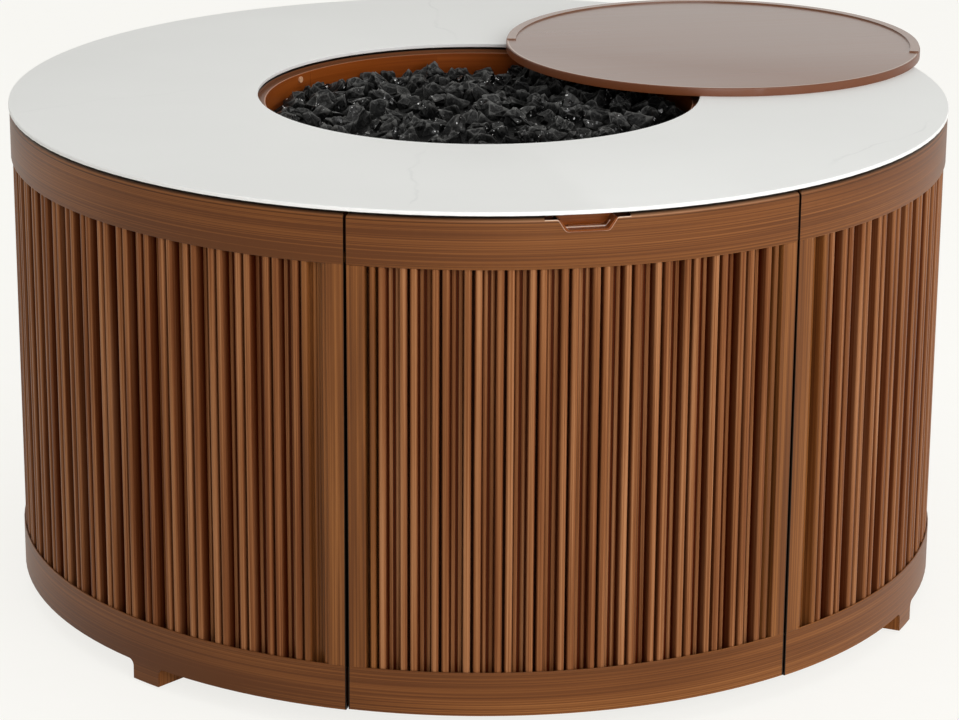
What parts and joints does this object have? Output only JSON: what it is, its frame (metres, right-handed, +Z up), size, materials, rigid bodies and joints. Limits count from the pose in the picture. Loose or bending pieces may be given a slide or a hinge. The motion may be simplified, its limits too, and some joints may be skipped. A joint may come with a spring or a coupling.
{
  "type": "fire pit table",
  "caption": "Round drum-shaped gas fire pit table with a pale stone top, slatted brown metal sides, a pull-off access door, and its round cover lying on the top.",
  "frame": {"origin": "on the drum's axis at floor level, at the middle of the four foot holes", "axes": "+Z up along the drum's axis; -Y out through the middle of the access door; +X to the right for someone facing the door"},
  "size_m": [1.2426, 1.2, 0.655],
  "materials": {
    "stone": "honed pale grey stone with faint veins",
    "bronze_steel": "satin wood-grain print on brown coated steel",
    "bronze_slats": "satin wood-grain print on brown coated aluminium",
    "lid_steel": "satin brown wood-grain coat",
    "bowl_steel": "satin dark brown powder coat",
    "black_steel": "matt black powder coat",
    "galvanised": "plain zinc-plated sheet",
    "screw_steel": "zinc-plated fasteners",
    "stainless": "brushed stainless",
    "brass": "machined brass",
    "lava_stone": "broken dark stone with small sparkling crystals",
    "ceramic": "white glazed ceramic",
    "magnet": "black cased magnet",
    "black_plastic": "black moulded plastic",
    "red_plastic": "red moulded plastic",
    "rubber": "black rubber"
  },
  "bodies": {
    "table": {"stone_top": "stone", "top_pads": "rubber", "top_deck": "galvanised", "deck_ribs": "galvanised", "base_plate": "black_steel", "frame_posts": "galvanised", "feet": "bronze_steel", "foot_pads": "rubber", "left_top_band": "bronze_steel", "left_bottom_band": "bronze_steel", "left_slats": "bronze_slats", "left_front_stile": "bronze_slats", "left_rear_stile": "bronze_slats", "left_liner": "black_steel", "right_top_band": "bronze_steel", "right_bottom_band": "bronze_steel", "right_slats": "bronze_slats", "right_front_stile": "bronze_slats", "right_rear_stile": "bronze_slats", "right_liner": "black_steel", "rear_splice": "galvanised", "door_magnets": "magnet", "sill_brackets": "galvanised", "sill_bushes": "black_plastic", "fire_bowl_collar": "bowl_steel", "collar_brackets": "galvanised", "collar_screws": "screw_steel", "burner_pan": "stainless", "burner_ring": "stainless", "burner_inlet": "brass", "pilot_bracket": "stainless", "spark_electrode": "ceramic", "flame_sensor": "stainless", "stone_bed": "lava_stone", "fire_stones": "lava_stone", "gas_pipe": "galvanised", "heat_shield": "galvanised", "shield_hangers": "screw_steel", "hanger_straps": "galvanised", "control_panel": "black_steel", "gas_valve": "brass", "gas_inlet": "brass", "igniter_body": "black_plastic", "tank_ring": "galvanised"},
    "door": {"door_top_band": "bronze_steel", "door_bottom_band": "bronze_steel", "door_slats": "bronze_slats", "door_left_stile": "bronze_slats", "door_right_stile": "bronze_slats", "door_liner": "black_steel", "finger_pull": "bronze_steel", "catch_plates": "galvanised", "sill_pins": "screw_steel"},
    "lid": {"lid_pan": "lid_steel", "lid_rim": "lid_steel"},
    "valve_cap": {"valve_spring_cap": "screw_steel"},
    "knob": {"control_knob": "black_plastic", "valve_stem": "screw_steel"},
    "button": {"igniter_button": "red_plastic"}
  },
  "joints": [
    {"name": "door_pull", "type": "slide", "parent": "table", "child": "door", "axis": [0, -1, 0], "range_m": [0, 0.3]},
    {"name": "lid_lift", "type": "slide", "parent": "table", "child": "lid", "axis": [0, 0, 1], "range_m": [0, 0.3]},
    {"name": "knob_push", "type": "slide", "parent": "table", "child": "valve_cap", "axis": [0, 1, 0], "range_m": [0, 0.0025], "stiffness_N_per_m": 1500},
    {"name": "knob_turn", "type": "hinge", "parent": "valve_cap", "child": "knob", "pos_m": [-0.045, -0.52, 0.565], "axis": [0, -1, 0], "range_deg": [0, 180]},
    {"name": "igniter_press", "type": "slide", "parent": "table", "child": "button", "axis": [0, 1, 0], "range_m": [0, 0.004], "stiffness_N_per_m": 1200}
  ]
}
